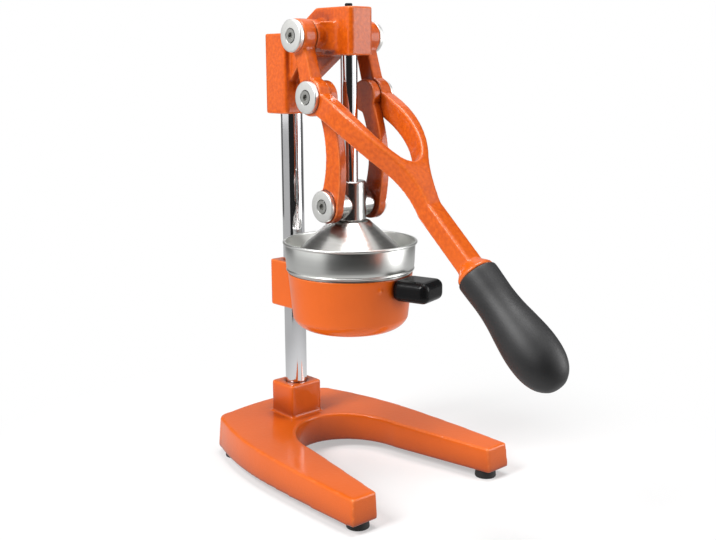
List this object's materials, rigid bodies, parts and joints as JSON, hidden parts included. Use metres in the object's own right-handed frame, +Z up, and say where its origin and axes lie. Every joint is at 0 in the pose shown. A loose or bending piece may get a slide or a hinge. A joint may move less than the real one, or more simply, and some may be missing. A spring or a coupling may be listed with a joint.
{
  "type": "lever citrus juice press",
  "caption": "Free-standing lever press that squeezes halved citrus fruit between a bell and a ribbed strainer over a bowl with a spout.",
  "frame": {"origin": "on the table, under the middle of the whole press", "axes": "+Z up along the plunger, lever and legs towards -Y, column towards +Y, pivots along X"},
  "size_m": [0.1956, 0.3734, 0.4292],
  "materials": {
    "orange_paint": "glossy powder coat",
    "chrome": "polished",
    "stainless": "brushed",
    "bright_steel": "polished",
    "washer_steel": "satin",
    "screw_steel": "satin",
    "dark_screw": "blackened",
    "black_rubber": "matte",
    "foot_rubber": "matte",
    "black_plastic": "glossy",
    "bronze": "plain bearing bronze",
    "crosshead_steel": "polished casting"
  },
  "bodies": {
    "stand": {"base_casting": "orange_paint", "foot_front_left": "foot_rubber", "foot_front_right": "foot_rubber", "foot_rear_left": "foot_rubber", "foot_rear_right": "foot_rubber", "foot_screws": "screw_steel", "column": "chrome", "column_bolt": "screw_steel", "column_washer": "screw_steel", "grub_screws": "dark_screw", "cup_ring": "orange_paint", "side_handle": "black_plastic", "side_handle_screw": "screw_steel", "head_casting": "orange_paint", "guide_bush_lower": "bronze", "guide_bush_upper": "bronze", "top_pivot_washers": "washer_steel", "top_pivot_screws": "screw_steel", "top_pivot_sleeves": "bronze"},
    "lever": {"lever_casting": "orange_paint", "grip_tang": "screw_steel", "lever_grip": "black_rubber", "mid_pivot_washer_right": "washer_steel", "mid_pivot_washer_left": "washer_steel", "mid_pivot_screw_right": "screw_steel", "mid_pivot_screw_left": "screw_steel"},
    "plunger": {"plunger_rod": "chrome", "rod_end_screw": "dark_screw", "crosshead": "crosshead_steel", "crosshead_screw": "dark_screw", "press_cone": "bright_steel", "cone_washer": "screw_steel", "cone_bolt": "screw_steel", "low_pivot_washer_right": "washer_steel", "low_pivot_washer_left": "washer_steel", "low_pivot_screw_right": "screw_steel", "low_pivot_screw_left": "screw_steel", "low_pivot_sleeve_right": "bronze", "low_pivot_sleeve_left": "bronze"},
    "link_left": {"link_left": "orange_paint"},
    "link_right": {"link_right": "orange_paint"},
    "bowl": {"juice_bowl": "stainless", "bowl_funnel": "stainless", "bowl_spout": "stainless"},
    "strainer": {"strainer": "stainless"}
  },
  "joints": [
    {"name": "lever_pivot", "type": "hinge", "parent": "stand", "child": "lever", "pos_m": [0, 0.07659, 0.4013], "axis": [-1, 0, 0], "range_deg": [0, 110]},
    {"name": "plunger_slide", "type": "slide", "parent": "stand", "child": "plunger", "axis": [0, 0, 1], "range_m": [0, 0.08785]},
    {"name": "link_left_pivot", "type": "hinge", "parent": "plunger", "child": "link_left", "pos_m": [0, 0.05569, 0.2536], "axis": [-1, 0, 0], "range_deg": [-16.73, 0]},
    {"name": "link_right_pivot", "type": "hinge", "parent": "plunger", "child": "link_right", "pos_m": [0, 0.05569, 0.2536], "axis": [-1, 0, 0], "range_deg": [-16.73, 0]},
    {"name": "bowl_turn", "type": "hinge", "parent": "stand", "child": "bowl", "pos_m": [0, 0.05569, 0.192], "axis": [0, 0, 1], "continuous": true},
    {"name": "strainer_turn", "type": "hinge", "parent": "bowl", "child": "strainer", "pos_m": [0, 0.05569, 0.1932], "axis": [0, 0, 1], "continuous": true}
  ],
  "couplings": [
    {"joint": "plunger_slide", "follows": "lever_pivot", "m_per_rad": 0.045759},
    {"joint": "link_left_pivot", "follows": "lever_pivot", "ratio": -0.15211},
    {"joint": "link_right_pivot", "follows": "lever_pivot", "ratio": -0.15211}
  ]
}
